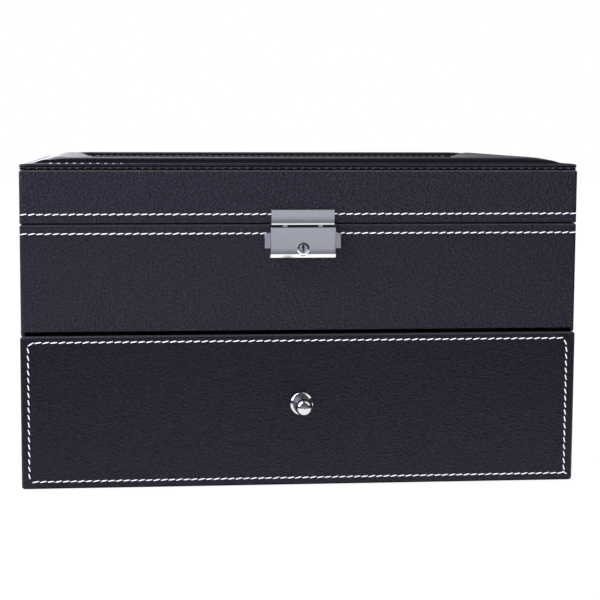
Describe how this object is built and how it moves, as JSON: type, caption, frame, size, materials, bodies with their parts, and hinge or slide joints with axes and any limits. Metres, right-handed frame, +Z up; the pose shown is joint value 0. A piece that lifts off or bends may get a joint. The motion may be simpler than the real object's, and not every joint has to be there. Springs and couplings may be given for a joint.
{
  "type": "watch box with drawer",
  "caption": "Leather-wrapped watch box: hinged padded lid with a glass window, squeeze lock on the front, lined tray and one full-width drawer, both with slots and pillows.",
  "frame": {"origin": "middle of the felt underside of the case, on the surface the box stands on", "axes": "+X to the right as seen from the front, -Y towards the front with the lock and the drawer, +Z up"},
  "size_m": [0.2906, 0.2189, 0.1722],
  "materials": {
    "board": "fibre board, unfinished",
    "leather": "black grained artificial leather, semi-gloss",
    "velvet": "short black velvet on card",
    "pillow": "soft black velvet over foam",
    "felt": "thin black felt",
    "glass": "clear float glass",
    "chrome": "polished plating",
    "steel": "plated steel",
    "button_metal": "satin plated metal"
  },
  "bodies": {
    "case": {"case_back_panel": "board", "case_base_panel": "board", "case_bottom_felt": "felt", "case_front_panel": "board", "case_leather_wrap": "leather", "case_side_left": "board", "case_side_right": "board", "hinge_case_leaves": "steel", "hinge_pins": "steel", "latch_spring_left": "steel", "latch_spring_right": "steel", "lock_base_plate": "steel", "lock_cover": "chrome", "lock_screws": "steel", "tray_dividers": "velvet", "tray_floor_panel": "board", "tray_lining": "velvet", "tray_pillow_1": "pillow", "tray_pillow_10": "pillow", "tray_pillow_2": "pillow", "tray_pillow_3": "pillow", "tray_pillow_4": "pillow", "tray_pillow_5": "pillow", "tray_pillow_6": "pillow", "tray_pillow_7": "pillow", "tray_pillow_8": "pillow", "tray_pillow_9": "pillow"},
    "lid": {"lid_frame": "board", "lid_leather_wrap": "leather", "lid_lining": "velvet", "lid_top_board": "board", "lid_padded_top": "leather", "lid_glass": "glass", "hinge_lid_leaves": "steel", "lock_strike_plate": "chrome"},
    "drawer": {"drawer_back": "board", "drawer_bottom": "board", "drawer_dividers": "velvet", "drawer_front_board": "board", "drawer_front_leather": "leather", "drawer_knob": "chrome", "drawer_lining": "velvet", "drawer_pillow_1": "pillow", "drawer_pillow_10": "pillow", "drawer_pillow_2": "pillow", "drawer_pillow_3": "pillow", "drawer_pillow_4": "pillow", "drawer_pillow_5": "pillow", "drawer_pillow_6": "pillow", "drawer_pillow_7": "pillow", "drawer_pillow_8": "pillow", "drawer_pillow_9": "pillow", "drawer_side_left": "board", "drawer_side_right": "board", "knob_screw": "steel"},
    "latch_button_left": {"latch_button_left": "button_metal"},
    "latch_button_right": {"latch_button_right": "button_metal"},
    "lock_cylinder": {"lock_cylinder": "chrome"}
  },
  "joints": [
    {"name": "lid_hinge", "type": "hinge", "parent": "case", "child": "lid", "pos_m": [0, 0.102, 0.13825], "axis": [-1, 0, 0], "range_deg": [0, 95]},
    {"name": "drawer_slide", "type": "slide", "parent": "case", "child": "drawer", "axis": [0, -1, 0], "range_m": [0, 0.15]},
    {"name": "latch_left_press", "type": "slide", "parent": "case", "child": "latch_button_left", "axis": [1, 0, 0], "range_m": [0, 0.002], "stiffness_N_per_m": 400, "springref_m": -0.001, "deforming": ["latch_spring_left"]},
    {"name": "latch_right_press", "type": "slide", "parent": "case", "child": "latch_button_right", "axis": [-1, 0, 0], "range_m": [0, 0.002], "stiffness_N_per_m": 400, "springref_m": -0.001, "deforming": ["latch_spring_right"]},
    {"name": "key_cylinder_turn", "type": "hinge", "parent": "case", "child": "lock_cylinder", "pos_m": [0, -0.104, 0.1258], "axis": [0, -1, 0], "range_deg": [0, 90]}
  ]
}
